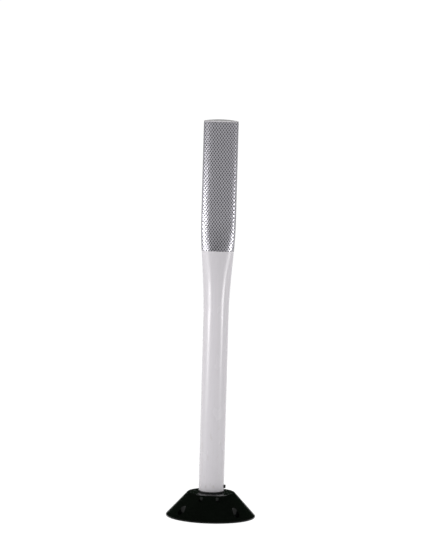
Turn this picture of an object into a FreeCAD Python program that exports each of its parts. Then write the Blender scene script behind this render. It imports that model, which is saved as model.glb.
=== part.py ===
"""Rebounding traffic post: a white tube with a flattened, reflective top on a black conical base.

A steel cable anchored in the base runs up through the foot of the post and a preloaded compression
spring, and holds the foot down. A knock tips the post over the edge of its foot, and the spring pulls
it upright again. Millimetres, +Z up, origin at the centre of the base's underside, flat faces of the
post towards -Y and +Y, lock button towards +X.
"""
import FreeCAD, Part
import math
import os

import Sketcher

# Driving dimensions: alias, value in millimetres or degrees.
DIMENSIONS = {
    # base moulding
    "base_radius": 103.0,
    "base_height": 56.0,
    "lip_height": 3.0,
    "lip_fillet": 1.0,
    "plateau_radius": 54.0,
    "plateau_fillet": 4.0,
    "recess_radius": 56.0,
    "recess_height": 18.0,
    "ledge_radius": 64.0,
    "ledge_height": 4.7,
    "grip_inner_radius": 58.0,
    "grip_outer_radius": 66.5,
    "grip_width": 8.0,
    "grip_floor": 40.0,
    "grip_angle": 18.0,
    # anchoring
    "anchor_ring_radius": 87.0,
    "anchor_pocket_radius": 9.0,
    "anchor_pocket_floor": 8.0,
    "ferrule_radius": 8.0,
    "ferrule_hole_radius": 6.6,
    # parts inside the base
    "fit_gap": 0.15,
    "plate_thickness": 4.0,
    "plate_screw_ring_radius": 44.0,
    "plate_screw_radius": 2.5,
    "plate_screw_head_radius": 4.6,
    "plate_screw_head_height": 3.0,
    "plate_screw_depth": 16.0,
    "cover_thickness": 2.5,
    "cover_screw_ring_radius": 60.0,
    "cover_screw_radius": 1.5,
    "cover_screw_head_radius": 3.2,
    "cover_screw_head_height": 1.7,
    "cover_screw_depth": 9.0,
    "guide_flange_radius": 21.0,
    "guide_flange_height": 3.6,
    "guide_radius": 15.0,
    "guide_bottom": 30.0,
    "guide_mouth_fillet": 10.0,
    "anchor_stop_radius": 8.0,
    "anchor_stop_height": 8.0,
    # cable and its hole
    "cable_radius": 3.0,
    "cable_hole_radius": 3.6,
    # foot of the post
    "foot_gap": 0.3,
    "washer_thickness": 2.5,
    "washer_hole_radius": 13.0,
    "tilt_gap": 0.4,
    "bush_height": 60.0,
    "bush_hole_radius": 5.0,
    "bush_mouth_fillet": 6.0,
    # tube
    "tube_radius": 29.0,
    "tube_wall": 3.0,
    "tube_top": 910.0,
    "flare_start": 465.0,
    "flare_end": 684.0,
    "flat_half_width": 39.6,
    "flat_side_radius": 8.5,
    # reflective sheeting and cap
    "band_bottom": 613.5,
    "band_top": 908.0,
    "band_thickness": 0.4,
    "band_gap": 0.05,
    "cap_height": 4.0,
    "cap_edge_fillet": 2.6,
    "cap_plug_depth": 18.0,
    "cap_plug_wall": 2.5,
    # tension unit
    "seat_thickness": 3.0,
    "seat_radius": 24.0,
    "seat_hub_radius": 12.5,
    "seat_hub_height": 6.0,
    "spring_radius": 16.0,
    "spring_wire_radius": 2.4,
    "spring_length": 150.0,
    "spring_turns": 9.0,
    "stud_radius": 4.0,
    "stud_hole_radius": 4.3,
    "stud_length": 48.0,
    "stud_sleeve_radius": 6.0,
    "stud_sleeve_length": 48.0,
    "stud_sleeve_below_seat": 12.0,
    "nut_circumradius": 7.5,
    "nut_height": 6.5,
    "lock_nut_height": 4.0,
    # lock button
    "button_height": 69.5,
    "button_radius": 4.2,
    "button_hole_radius": 4.5,
    "button_tip": 33.4,
    "button_tip_fillet": 1.2,
    "button_flange_radius": 5.6,
    "button_flange_front": 24.6,
    "button_flange_back": 21.6,
    "button_bore_radius": 5.9,
    "button_bore_floor": 9.5,
    "button_spring_radius": 4.0,
    "button_spring_wire_radius": 0.45,
    "button_spring_turns": 6.0,
}

ANCHOR_COUNT = 4
PLATE_SCREW_COUNT = 6
COVER_SCREW_COUNT = 4
FLARE_STEPS = 8

# Levels that several sub-parts share, as expressions on the sheet.
PLATE_BOTTOM = "Dims.recess_height - Dims.plate_thickness"
COVER_BOTTOM = "Dims.ledge_height - Dims.cover_thickness"
WASHER_BOTTOM = "Dims.base_height + Dims.foot_gap"
WASHER_TOP = WASHER_BOTTOM + " + Dims.washer_thickness"
FOOT = WASHER_TOP + " + Dims.tilt_gap"
BUSH_TOP = FOOT + " + Dims.bush_height"
SPRING_BOTTOM = BUSH_TOP + " + Dims.seat_thickness"
SPRING_TOP = SPRING_BOTTOM + " + Dims.spring_length"
UPPER_SEAT_TOP = SPRING_TOP + " + Dims.seat_thickness"
SLEEVE_TOP = SPRING_TOP + " - Dims.stud_sleeve_below_seat"
SLEEVE_BOTTOM = SLEEVE_TOP + " - Dims.stud_sleeve_length"
GUIDE_TOP = "Dims.base_height - Dims.foot_gap"
GUIDE_SEAT = "Dims.base_height - Dims.guide_flange_height"

doc = FreeCAD.newDocument("rebound_post")
sheet = doc.addObject("Spreadsheet::Sheet", "Dims")
for row, (alias, value) in enumerate(DIMENSIONS.items(), start=1):
    sheet.set("A%d" % row, alias)
    sheet.set("B%d" % row, repr(value))
    sheet.setAlias("B%d" % row, alias)
doc.recompute()

sub_parts = []


# ---------------------------------------------------------------- helpers

def keep(item, label):
    """Give a finished sub-part its label, which names its file."""
    item.Label = label
    sub_parts.append(item)
    return item


def new_body(label):
    return keep(doc.addObject("PartDesign::Body", label), label)


def origin_feature(body, role):
    """One of the body's own base planes or axes."""
    return next(item for item in body.Origin.OriginFeatures if item.Role == role)


def new_sketch(body, plane, offset=None):
    """A sketch on one of the body's base planes, moved along the plane's normal by an expression."""
    sketch = body.newObject("Sketcher::SketchObject", "sketch")
    sketch.AttachmentSupport = (origin_feature(body, plane), [""])
    sketch.MapMode = "FlatFace"
    if offset is not None:
        sketch.setExpression("AttachmentOffset.Base.z", offset)
    return sketch


def hold_point(sketch, edge, end, x, y):
    """Fix a sketch point at two expressions; "0" puts it on the axis."""
    for kind, value, axis in (("DistanceX", x, -2), ("DistanceY", y, -1)):
        if value == "0":
            sketch.addConstraint(Sketcher.Constraint("PointOnObject", edge, end, axis))
        else:
            number = sketch.addConstraint(Sketcher.Constraint(kind, -1, 1, edge, end, 1.0))
            sketch.setExpression("Constraints[%d]" % number, value)


def draw_outline(sketch, points):
    """A closed outline of straight lines through points given as pairs of expressions."""
    count = len(points)
    for i in range(count):
        start = FreeCAD.Vector(i, i * i, 0)
        j = (i + 1) % count
        end = FreeCAD.Vector(j, j * j, 0)
        sketch.addGeometry(Part.LineSegment(start, end), False)
    for i in range(count):
        sketch.addConstraint(Sketcher.Constraint("Coincident", i, 2, (i + 1) % count, 1))
    for i, (x, y) in enumerate(points):
        hold_point(sketch, i, 1, x, y)


def draw_circle(sketch, x, y, radius):
    number = sketch.addGeometry(Part.Circle(FreeCAD.Vector(1, 1, 0), FreeCAD.Vector(0, 0, 1), 1), False)
    hold_point(sketch, number, 3, x, y)
    ring = sketch.addConstraint(Sketcher.Constraint("Radius", number, 1.0))
    sketch.setExpression("Constraints[%d]" % ring, radius)


def revolve(body, points):
    """Turn an outline in (radius, height) a full turn about +Z."""
    sketch = new_sketch(body, "XZ_Plane")
    draw_outline(sketch, points)
    turned = body.newObject("PartDesign::Revolution", "revolution")
    turned.Profile = sketch
    turned.ReferenceAxis = (sketch, ["V_Axis"])
    turned.Angle = 360
    doc.recompute()
    return turned


def tube_outline(inner, outer, low, high):
    return [(inner, low), (outer, low), (outer, high), (inner, high)]


def pocket(body, sketch, upwards):
    """Cut a sketch through everything on one side of its plane, and check that it did cut."""
    before = body.Shape.Volume
    cut = body.newObject("PartDesign::Pocket", "pocket")
    cut.Profile = sketch
    cut.Type = "ThroughAll"
    cut.Reversed = upwards
    doc.recompute()
    if body.Shape.Volume > before - 1.0:
        raise RuntimeError("a pocket of %s cuts nothing" % body.Label)
    return cut


def round_pattern(body, features, count):
    """Repeat features evenly about +Z."""
    pattern = body.newObject("PartDesign::PolarPattern", "pattern")
    pattern.Originals = features
    pattern.Axis = (origin_feature(body, "Z_Axis"), [""])
    pattern.Angle = 360
    pattern.Occurrences = count
    body.Tip = pattern
    doc.recompute()
    return pattern


def fillet_circle(body, radius, height, size):
    """Round the circular edge about +Z that has this radius and height."""
    base = body.Tip
    names = []
    for number, edge in enumerate(base.Shape.Edges, start=1):
        curve = edge.Curve
        if not isinstance(curve, Part.Circle):
            continue
        if abs(curve.Radius - radius) < 1e-6 and abs(curve.Center.z - height) < 1e-6:
            if math.hypot(curve.Center.x, curve.Center.y) < 1e-6:
                names.append("Edge%d" % number)
    rounded = body.newObject("PartDesign::Fillet", "fillet")
    rounded.Base = (base, names)
    rounded.setExpression("Radius", size)
    doc.recompute()
    return rounded


def cylinder(radius, height, low):
    rod = doc.addObject("Part::Cylinder", "cylinder")
    rod.setExpression("Radius", radius)
    rod.setExpression("Height", height)
    rod.setExpression("Placement.Base.z", low)
    return rod


def ring_of(label, count, first_angle, ring_radius, make_one):
    """Identical pieces spaced evenly about +Z, as separate solids of one node."""
    pieces = []
    for i in range(count):
        angle = first_angle + i * 360.0 / count
        piece = make_one()
        piece.setExpression("Placement.Base.x", "%s * cos(%.6f deg)" % (ring_radius, angle))
        piece.setExpression("Placement.Base.y", "%s * sin(%.6f deg)" % (ring_radius, angle))
        pieces.append(piece)
    group = doc.addObject("Part::Compound", label)
    group.Links = pieces
    return keep(group, label)


def screw(head_radius, head_height, shank_radius, head_bottom, depth):
    """A screw pointing up: a flat head below, a shank above."""
    head = cylinder(head_radius, head_height, head_bottom)
    shank = cylinder(shank_radius, "%s + %s" % (head_height, depth), head_bottom)
    joined = doc.addObject("Part::Fuse", "screw")
    joined.Base = head
    joined.Tool = shank
    return joined


def coil(label, radius, wire, length, turns, start, turned=None):
    """A compression spring along +Z, or along the direction that the rotation turns +Z to."""
    spine = doc.addObject("Part::Helix", "helix")
    spine.setExpression("Radius", radius)
    spine.setExpression("Height", "%s - 2 * %s" % (length, wire))
    spine.setExpression("Pitch", "(%s - 2 * %s) / %s" % (length, wire, turns))
    section = doc.addObject("Part::Circle", "wire")
    section.setExpression("Radius", wire)
    section.setExpression("Placement.Base.x", radius)
    section.Placement.Rotation = FreeCAD.Rotation(FreeCAD.Vector(1, 0, 0), 90)
    spring = doc.addObject("Part::Sweep", label)
    spring.Sections = [section]
    spring.Spine = (spine, [])
    spring.Solid = True
    spring.Frenet = True
    doc.recompute()
    if turned is None:
        spring.setExpression("Placement.Base.z", "%s + %s" % (start, wire))
    else:
        spring.Placement.Rotation = turned
        spring.setExpression("Placement.Base.x", "%s + %s" % (start, wire))
        spring.setExpression("Placement.Base.z", "Dims.button_height")
    return keep(spring, label)


# ---------------------------------------------------------------- base

def base_cone():
    """Moulded cone with a flat top, a stepped recess below and bolt pockets in its flank."""
    body = new_body("base_cone")
    revolve(body, [
        ("Dims.ledge_radius", "0"),
        ("Dims.base_radius", "0"),
        ("Dims.base_radius", "Dims.lip_height"),
        ("Dims.plateau_radius", "Dims.base_height"),
        ("Dims.guide_flange_radius", "Dims.base_height"),
        ("Dims.guide_flange_radius", GUIDE_SEAT),
        ("Dims.guide_radius", GUIDE_SEAT),
        ("Dims.guide_radius", "Dims.recess_height"),
        ("Dims.recess_radius", "Dims.recess_height"),
        ("Dims.recess_radius", "Dims.ledge_height"),
        ("Dims.ledge_radius", "Dims.ledge_height"),
    ])
    fillet_circle(body, sheet.plateau_radius, sheet.base_height, "Dims.plateau_fillet")
    fillet_circle(body, sheet.base_radius, sheet.lip_height, "Dims.lip_fillet")

    corner = "Dims.anchor_ring_radius * cos(45 deg)"
    bolt_pocket = new_sketch(body, "XY_Plane", "Dims.anchor_pocket_floor")
    draw_circle(bolt_pocket, corner, corner, "Dims.anchor_pocket_radius")
    round_pattern(body, [pocket(body, bolt_pocket, True)], ANCHOR_COUNT)
    ferrule_hole = new_sketch(body, "XY_Plane", "Dims.anchor_pocket_floor")
    draw_circle(ferrule_hole, corner, corner, "Dims.ferrule_radius + Dims.fit_gap")
    round_pattern(body, [pocket(body, ferrule_hole, False)], ANCHOR_COUNT)

    # Two grip slots near the top of the flank, on the front and again on the back.
    for side in (-1, 1):
        slot = new_sketch(body, "XY_Plane", "Dims.grip_floor")
        across = "(%d * Dims.grip_outer_radius * sin(Dims.grip_angle * 1 deg)" % side
        draw_outline(slot, [
            (across + " - Dims.grip_width / 2)", "-Dims.grip_inner_radius * cos(Dims.grip_angle * 1 deg)"),
            (across + " - Dims.grip_width / 2)", "-Dims.grip_outer_radius * cos(Dims.grip_angle * 1 deg)"),
            (across + " + Dims.grip_width / 2)", "-Dims.grip_outer_radius * cos(Dims.grip_angle * 1 deg)"),
            (across + " + Dims.grip_width / 2)", "-Dims.grip_inner_radius * cos(Dims.grip_angle * 1 deg)"),
        ])
        round_pattern(body, [pocket(body, slot, True)], 2)

    # Pilot holes for the plate screws and the cover screws.
    pilot = new_sketch(body, "XY_Plane", "%s + Dims.plate_screw_depth" % PLATE_BOTTOM)
    draw_circle(pilot, "Dims.plate_screw_ring_radius", "0", "Dims.plate_screw_radius + Dims.fit_gap / 3")
    round_pattern(body, [pocket(body, pilot, False)], PLATE_SCREW_COUNT)
    pilot = new_sketch(body, "XY_Plane", "%s + Dims.cover_screw_depth" % COVER_BOTTOM)
    draw_circle(pilot, "Dims.cover_screw_ring_radius", "0", "Dims.cover_screw_radius + Dims.fit_gap / 3")
    round_pattern(body, [pocket(body, pilot, False)], COVER_SCREW_COUNT)


def anchor_ferrules():
    """Steel sleeves that carry the clamping load of the ground bolts."""

    def one():
        sleeve = doc.addObject("Part::Cut", "sleeve")
        sleeve.Base = cylinder("Dims.ferrule_radius", "Dims.anchor_pocket_floor", "0")
        sleeve.Tool = cylinder("Dims.ferrule_hole_radius", "Dims.anchor_pocket_floor", "0")
        return sleeve

    ring_of("anchor_ferrules", ANCHOR_COUNT, 45.0, "Dims.anchor_ring_radius", one)


def core_plate():
    """Steel disc under the moulding, which takes the pull of the cable."""
    body = new_body("core_plate")
    radius = "Dims.recess_radius - Dims.fit_gap"
    revolve(body, tube_outline("Dims.cable_hole_radius", radius, PLATE_BOTTOM, "Dims.recess_height"))
    hole = new_sketch(body, "XY_Plane", PLATE_BOTTOM)
    draw_circle(hole, "Dims.plate_screw_ring_radius", "0", "Dims.plate_screw_radius + Dims.fit_gap")
    round_pattern(body, [pocket(body, hole, True)], PLATE_SCREW_COUNT)


def plate_screws():
    """Screws that hold the core plate up into the moulding."""
    head_bottom = "%s - Dims.plate_screw_head_height" % PLATE_BOTTOM

    def one():
        return screw("Dims.plate_screw_head_radius", "Dims.plate_screw_head_height",
                     "Dims.plate_screw_radius", head_bottom, "Dims.plate_screw_depth")

    ring_of("plate_screws", PLATE_SCREW_COUNT, 0.0, "Dims.plate_screw_ring_radius", one)


def cable_guide():
    """Flanged nylon bush in the middle of the plateau, with a mouth that the cable bends over."""
    body = new_body("cable_guide")
    revolve(body, [
        ("Dims.cable_hole_radius", "Dims.guide_bottom"),
        ("Dims.guide_radius - Dims.fit_gap", "Dims.guide_bottom"),
        ("Dims.guide_radius - Dims.fit_gap", GUIDE_SEAT),
        ("Dims.guide_flange_radius - Dims.fit_gap", GUIDE_SEAT),
        ("Dims.guide_flange_radius - Dims.fit_gap", GUIDE_TOP),
        ("Dims.cable_hole_radius", GUIDE_TOP),
    ])
    fillet_circle(body, sheet.cable_hole_radius, sheet.base_height - sheet.foot_gap,
                  "Dims.guide_mouth_fillet")


def cable_anchor():
    """Swaged stop on the cable's lower end, bearing up against the core plate."""
    body = new_body("cable_anchor")
    bottom = "%s - Dims.anchor_stop_height" % PLATE_BOTTOM
    revolve(body, [("0", bottom), ("Dims.anchor_stop_radius", bottom),
                   ("Dims.anchor_stop_radius", PLATE_BOTTOM), ("0", PLATE_BOTTOM)])


def bottom_cover():
    """Thin disc that closes the recess and keeps dirt off the cable's end."""
    body = new_body("bottom_cover")
    radius = "Dims.ledge_radius - Dims.fit_gap"
    revolve(body, [("0", COVER_BOTTOM), (radius, COVER_BOTTOM),
                   (radius, "Dims.ledge_height"), ("0", "Dims.ledge_height")])
    hole = new_sketch(body, "XY_Plane", COVER_BOTTOM)
    draw_circle(hole, "Dims.cover_screw_ring_radius", "0", "Dims.cover_screw_radius + Dims.fit_gap")
    round_pattern(body, [pocket(body, hole, True)], COVER_SCREW_COUNT)


def cover_screws():
    """Small screws that hold the bottom cover."""
    head_bottom = "%s - Dims.cover_screw_head_height" % COVER_BOTTOM

    def one():
        return screw("Dims.cover_screw_head_radius", "Dims.cover_screw_head_height",
                     "Dims.cover_screw_radius", head_bottom, "Dims.cover_screw_depth")

    ring_of("cover_screws", COVER_SCREW_COUNT, 0.0, "Dims.cover_screw_ring_radius", one)


# ---------------------------------------------------------------- foot

def foot_washer():
    """Black wear ring that rocks on the plateau under the foot of the post."""
    body = new_body("foot_washer")
    revolve(body, tube_outline("Dims.washer_hole_radius", "Dims.tube_radius", WASHER_BOTTOM, WASHER_TOP))


def foot_bush():
    """Solid plug in the foot of the tube, with a flared cable hole and a bore for the lock button."""
    body = new_body("foot_bush")
    radius = "Dims.tube_radius - Dims.tube_wall - Dims.fit_gap"
    revolve(body, tube_outline("Dims.bush_hole_radius", radius, FOOT, BUSH_TOP))
    foot_level = sheet.base_height + sheet.foot_gap + sheet.washer_thickness + sheet.tilt_gap
    fillet_circle(body, sheet.bush_hole_radius, foot_level, "Dims.bush_mouth_fillet")
    bore = new_sketch(body, "YZ_Plane", "Dims.button_bore_floor")
    draw_circle(bore, "0", "Dims.button_height", "Dims.button_bore_radius")
    pocket(body, bore, True)


def lock_button():
    """Spring button that snaps through the tube wall and locks the tube on its bush."""
    body = new_body("lock_button")
    # The button is turned about a line along X: the outline lies in X and in height above that line.
    sketch = new_sketch(body, "XY_Plane", "Dims.button_height")
    draw_outline(sketch, [
        ("Dims.button_flange_back", "0"),
        ("Dims.button_tip", "0"),
        ("Dims.button_tip", "Dims.button_radius"),
        ("Dims.button_flange_front", "Dims.button_radius"),
        ("Dims.button_flange_front", "Dims.button_flange_radius"),
        ("Dims.button_flange_back", "Dims.button_flange_radius"),
    ])
    turned = body.newObject("PartDesign::Revolution", "revolution")
    turned.Profile = sketch
    turned.ReferenceAxis = (sketch, ["H_Axis"])
    turned.Angle = 360
    doc.recompute()
    names = []
    for number, edge in enumerate(turned.Shape.Edges, start=1):
        curve = edge.Curve
        if isinstance(curve, Part.Circle) and abs(curve.Center.x - sheet.button_tip) < 1e-6:
            names.append("Edge%d" % number)
    rounded = body.newObject("PartDesign::Fillet", "fillet")
    rounded.Base = (turned, names)
    rounded.setExpression("Radius", "Dims.button_tip_fillet")
    doc.recompute()


def button_spring():
    """Small coil behind the lock button."""
    along_x = FreeCAD.Rotation(FreeCAD.Vector(0, 0, 1), FreeCAD.Vector(1, 0, 0))
    coil("button_spring", "Dims.button_spring_radius", "Dims.button_spring_wire_radius",
         "(Dims.button_flange_back - Dims.button_bore_floor)", "Dims.button_spring_turns",
         "Dims.button_bore_floor", along_x)


# ---------------------------------------------------------------- tension unit

def lower_spring_seat():
    """Flanged washer on the bush, with a hub that centres the spring."""
    body = new_body("lower_spring_seat")
    hub_top = "%s + Dims.seat_hub_height" % SPRING_BOTTOM
    revolve(body, [
        ("Dims.bush_hole_radius", BUSH_TOP),
        ("Dims.seat_radius", BUSH_TOP),
        ("Dims.seat_radius", SPRING_BOTTOM),
        ("Dims.seat_hub_radius", SPRING_BOTTOM),
        ("Dims.seat_hub_radius", hub_top),
        ("Dims.bush_hole_radius", hub_top),
    ])


def upper_spring_seat():
    """Flanged washer on top of the spring, pulled down by the cable."""
    body = new_body("upper_spring_seat")
    hub_bottom = "%s - Dims.seat_hub_height" % SPRING_TOP
    revolve(body, [
        ("Dims.stud_hole_radius", hub_bottom),
        ("Dims.seat_hub_radius", hub_bottom),
        ("Dims.seat_hub_radius", SPRING_TOP),
        ("Dims.seat_radius", SPRING_TOP),
        ("Dims.seat_radius", UPPER_SEAT_TOP),
        ("Dims.stud_hole_radius", UPPER_SEAT_TOP),
    ])


def rebound_spring():
    """Preloaded compression spring that pulls the post upright."""
    coil("rebound_spring", "Dims.spring_radius", "Dims.spring_wire_radius", "Dims.spring_length",
         "Dims.spring_turns", SPRING_BOTTOM)


def tension_cable():
    """Wire rope from the stop under the core plate to the threaded terminal."""
    rod = cylinder("Dims.cable_radius", "%s - (%s)" % (SLEEVE_BOTTOM, PLATE_BOTTOM), PLATE_BOTTOM)
    keep(rod, "tension_cable")


def cable_stud():
    """Terminal swaged on the cable's upper end, threaded above for the nuts."""
    body = new_body("cable_stud")
    stud_top = "%s + Dims.stud_length" % SLEEVE_TOP
    revolve(body, [
        ("0", SLEEVE_BOTTOM),
        ("Dims.stud_sleeve_radius", SLEEVE_BOTTOM),
        ("Dims.stud_sleeve_radius", SLEEVE_TOP + " - Dims.stud_sleeve_below_seat / 2"),
        ("Dims.stud_radius", SLEEVE_TOP + " - Dims.stud_sleeve_below_seat / 2"),
        ("Dims.stud_radius", stud_top),
        ("0", stud_top),
    ])


def hex_nut(label, height, low):
    prism = doc.addObject("Part::Prism", "prism")
    prism.Polygon = 6
    prism.setExpression("Circumradius", "Dims.nut_circumradius")
    prism.setExpression("Height", height)
    prism.setExpression("Placement.Base.z", low)
    nut = doc.addObject("Part::Cut", label)
    nut.Base = prism
    nut.Tool = cylinder("Dims.stud_radius + Dims.fit_gap / 3", height, low)
    keep(nut, label)


# ---------------------------------------------------------------- tube, sheeting and cap

def smooth_step(t):
    t = min(max(t, 0.0), 1.0)
    return t * t * (3.0 - 2.0 * t)


def side_arc_share(half_width, half_depth, side_radius):
    """The face arc's radius and half angle, for an oval of two side arcs and two face arcs."""
    reach = half_width - side_radius
    face_radius = (reach ** 2 + half_depth ** 2 - side_radius ** 2) / (2.0 * (half_depth - side_radius))
    return face_radius, math.asin(reach / (face_radius - side_radius))


def oval_section(height):
    """Half width, half depth, side radius, face radius and face half angle of the tube's outside.

    The tube is drawn flat from a round pipe, so the length round it stays that of the pipe.
    """
    share = smooth_step((height - sheet.flare_start) / (sheet.flare_end - sheet.flare_start))
    share = max(share, 0.002)
    pipe = sheet.tube_radius
    half_width = pipe + share * (sheet.flat_half_width - pipe)
    side_radius = pipe - share ** 0.6 * (pipe - sheet.flat_side_radius)
    low, high = side_radius + 1e-6, pipe
    for _ in range(60):
        half_depth = (low + high) / 2.0
        face_radius, angle = side_arc_share(half_width, half_depth, side_radius)
        length = 4.0 * (side_radius * (math.pi / 2.0 - angle) + face_radius * angle)
        if length > 2.0 * math.pi * pipe:
            high = half_depth
        else:
            low = half_depth
    return half_width, half_depth, side_radius, face_radius, angle


def oval_wire(height, offset):
    """The outside of the tube at a height, moved outwards by an offset, as four tangent arcs."""
    half_width, half_depth, side_radius, face_radius, angle = oval_section(height)
    if height <= sheet.flare_start:
        half_width = half_depth = side_radius = face_radius = sheet.tube_radius
    reach = half_width - side_radius
    side = side_radius + offset
    x = reach + side * math.sin(angle)
    y = side * math.cos(angle)
    front = half_depth + offset
    right = half_width + offset
    turns = [
        ((x, -y), (right, 0.0), (x, y)),
        ((x, y), (0.0, front), (-x, y)),
        ((-x, y), (-right, 0.0), (-x, -y)),
        ((-x, -y), (0.0, -front), (x, -y)),
    ]
    arcs = []
    for points in turns:
        start, middle, end = (FreeCAD.Vector(px, py, height) for px, py in points)
        arcs.append(Part.Arc(start, middle, end).toShape())
    return Part.Wire(arcs)


def column(offset, low, high):
    """The tube's outside as a solid, grown by an offset: round pipe, flare, flattened top."""
    start, end = sheet.flare_start, sheet.flare_end
    step = (end - start) / FLARE_STEPS
    levels = [start + step * i for i in range(FLARE_STEPS + 1)]
    pieces = [Part.makeLoft([oval_wire(z, offset) for z in levels], True, False)]
    if high > end:
        face = Part.Face(oval_wire(end, offset))
        pieces.append(face.extrude(FreeCAD.Vector(0, 0, high - end)))
    if low < start:
        face = Part.Face(oval_wire(start, offset))
        pieces.append(face.extrude(FreeCAD.Vector(0, 0, low - start)))
    solid = pieces[0]
    for piece in pieces[1:]:
        solid = solid.fuse(piece)
    if low > start:
        side = 4.0 * sheet.flat_half_width
        box = Part.makeBox(side, side, high - low, FreeCAD.Vector(-side / 2, -side / 2, low))
        solid = solid.common(box)
    return solid


def foot_height():
    return sheet.base_height + sheet.foot_gap + sheet.washer_thickness + sheet.tilt_gap


def shape_feature(label, shape):
    item = doc.addObject("Part::Feature", label)
    item.Shape = shape
    item.Placement = FreeCAD.Placement()
    return keep(item, label)


def post_tube():
    """One-piece extruded tube, round below and drawn flat above."""
    foot = foot_height()
    beyond = 1.0
    outside = column(0.0, foot, sheet.tube_top)
    inside = column(-sheet.tube_wall, foot - beyond, sheet.tube_top + beyond)
    tube = outside.cut(inside)
    hole = Part.makeCylinder(sheet.button_hole_radius, sheet.tube_radius + beyond,
                             FreeCAD.Vector(0, 0, sheet.button_height), FreeCAD.Vector(1, 0, 0))
    shape_feature("post_tube", tube.cut(hole))


def reflective_band():
    """Reflective sheeting wrapped round the flattened top."""
    inner = column(sheet.band_gap, sheet.band_bottom, sheet.band_top)
    outer = column(sheet.band_gap + sheet.band_thickness, sheet.band_bottom, sheet.band_top)
    shape_feature("reflective_band", outer.cut(inner))


def top_cap():
    """Cap with a rounded edge and a plug that fits inside the tube."""
    top = sheet.tube_top
    lid = Part.Face(oval_wire(top, 0.0)).extrude(FreeCAD.Vector(0, 0, sheet.cap_height))
    rim = [edge for edge in lid.Edges
           if all(abs(v.Point.z - top - sheet.cap_height) < 1e-6 for v in edge.Vertexes)]
    lid = lid.makeFillet(sheet.cap_edge_fillet, rim)
    plug_offset = -sheet.tube_wall - sheet.fit_gap
    down = FreeCAD.Vector(0, 0, -sheet.cap_plug_depth)
    plug = Part.Face(oval_wire(top, plug_offset)).extrude(down)
    hollow = Part.Face(oval_wire(top, plug_offset - sheet.cap_plug_wall)).extrude(down)
    shape_feature("top_cap", lid.fuse(plug.cut(hollow)))


# ---------------------------------------------------------------- build and write

base_cone()
anchor_ferrules()
core_plate()
plate_screws()
cable_guide()
cable_anchor()
bottom_cover()
cover_screws()
foot_washer()
foot_bush()
lock_button()
button_spring()
lower_spring_seat()
upper_spring_seat()
rebound_spring()
tension_cable()
cable_stud()
hex_nut("tension_nut", "Dims.nut_height", UPPER_SEAT_TOP)
hex_nut("lock_nut", "Dims.lock_nut_height", UPPER_SEAT_TOP + " + Dims.nut_height")
post_tube()
reflective_band()
top_cap()
doc.recompute()

for item in doc.Objects:
    if "Invalid" in item.State or "Error" in item.State:
        raise RuntimeError("%s failed: %s" % (item.Label, item.State))
os.makedirs("parts", exist_ok=True)
for item in sub_parts:
    shape = item.Shape
    if shape.isNull() or not shape.isValid():
        raise RuntimeError("%s has no valid shape" % item.Label)
    box = shape.BoundBox
    print("%-18s solids %d  volume %9.1f  z %7.2f to %7.2f  x %7.2f to %7.2f"
          % (item.Label, len(shape.Solids), shape.Volume, box.ZMin, box.ZMax, box.XMin, box.XMax))
    shape.exportStep("parts/%s.step" % item.Label)
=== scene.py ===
import math

import bmesh
import bpy
from mathutils import Matrix, Vector


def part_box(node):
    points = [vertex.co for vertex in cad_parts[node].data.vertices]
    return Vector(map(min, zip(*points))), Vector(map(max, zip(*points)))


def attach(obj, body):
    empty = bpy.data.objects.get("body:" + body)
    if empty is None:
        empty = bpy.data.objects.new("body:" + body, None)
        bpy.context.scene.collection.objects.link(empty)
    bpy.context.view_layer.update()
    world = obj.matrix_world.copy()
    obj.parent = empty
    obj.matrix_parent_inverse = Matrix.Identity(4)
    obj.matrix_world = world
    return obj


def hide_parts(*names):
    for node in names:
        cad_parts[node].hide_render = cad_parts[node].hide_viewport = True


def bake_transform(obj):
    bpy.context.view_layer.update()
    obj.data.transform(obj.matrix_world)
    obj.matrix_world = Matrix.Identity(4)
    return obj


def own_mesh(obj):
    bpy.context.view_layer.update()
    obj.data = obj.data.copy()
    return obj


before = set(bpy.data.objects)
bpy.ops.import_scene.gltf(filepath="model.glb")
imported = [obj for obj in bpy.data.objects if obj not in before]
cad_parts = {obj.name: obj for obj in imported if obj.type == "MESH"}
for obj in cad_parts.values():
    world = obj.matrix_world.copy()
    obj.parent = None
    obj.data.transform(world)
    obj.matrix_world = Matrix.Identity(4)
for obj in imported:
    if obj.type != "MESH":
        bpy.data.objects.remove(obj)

bl_info = {
    "name": "Rebound Post",
    "version": (1, 0, 0),
    "blender": (4, 5, 0),
    "location": "View3D > Sidebar > Rebound Post",
    "description": "Builds a white rebounding traffic post on its black conical base",
    "category": "Object",
}

MM = 0.001
TURN = 2.0 * math.pi

# Places that come from the frame: lowest and highest corners of its nodes.
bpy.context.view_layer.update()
BASE_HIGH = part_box("base_cone")[1]
TUBE_LOW, TUBE_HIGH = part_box("post_tube")
BAND_LOW, BAND_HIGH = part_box("reflective_band")
CAP_LOW, CAP_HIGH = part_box("top_cap")
WASHER_LOW, WASHER_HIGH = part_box("foot_washer")
BUSH_LOW, BUSH_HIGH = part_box("foot_bush")
GUIDE_LOW, GUIDE_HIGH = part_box("cable_guide")
PLATE_LOW, PLATE_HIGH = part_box("core_plate")
COVER_LOW, COVER_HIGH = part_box("bottom_cover")
STOP_LOW, STOP_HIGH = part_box("cable_anchor")
CABLE_LOW, CABLE_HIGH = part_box("tension_cable")
SPRING_LOW, SPRING_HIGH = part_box("rebound_spring")
LOWER_SEAT_LOW, LOWER_SEAT_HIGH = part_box("lower_spring_seat")
UPPER_SEAT_LOW, UPPER_SEAT_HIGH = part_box("upper_spring_seat")
STUD_LOW, STUD_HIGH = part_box("cable_stud")
NUT_LOW, NUT_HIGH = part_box("tension_nut")
LOCK_NUT_LOW, LOCK_NUT_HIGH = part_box("lock_nut")
BUTTON_LOW, BUTTON_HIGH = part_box("lock_button")
COIL_LOW, COIL_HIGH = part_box("button_spring")

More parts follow.
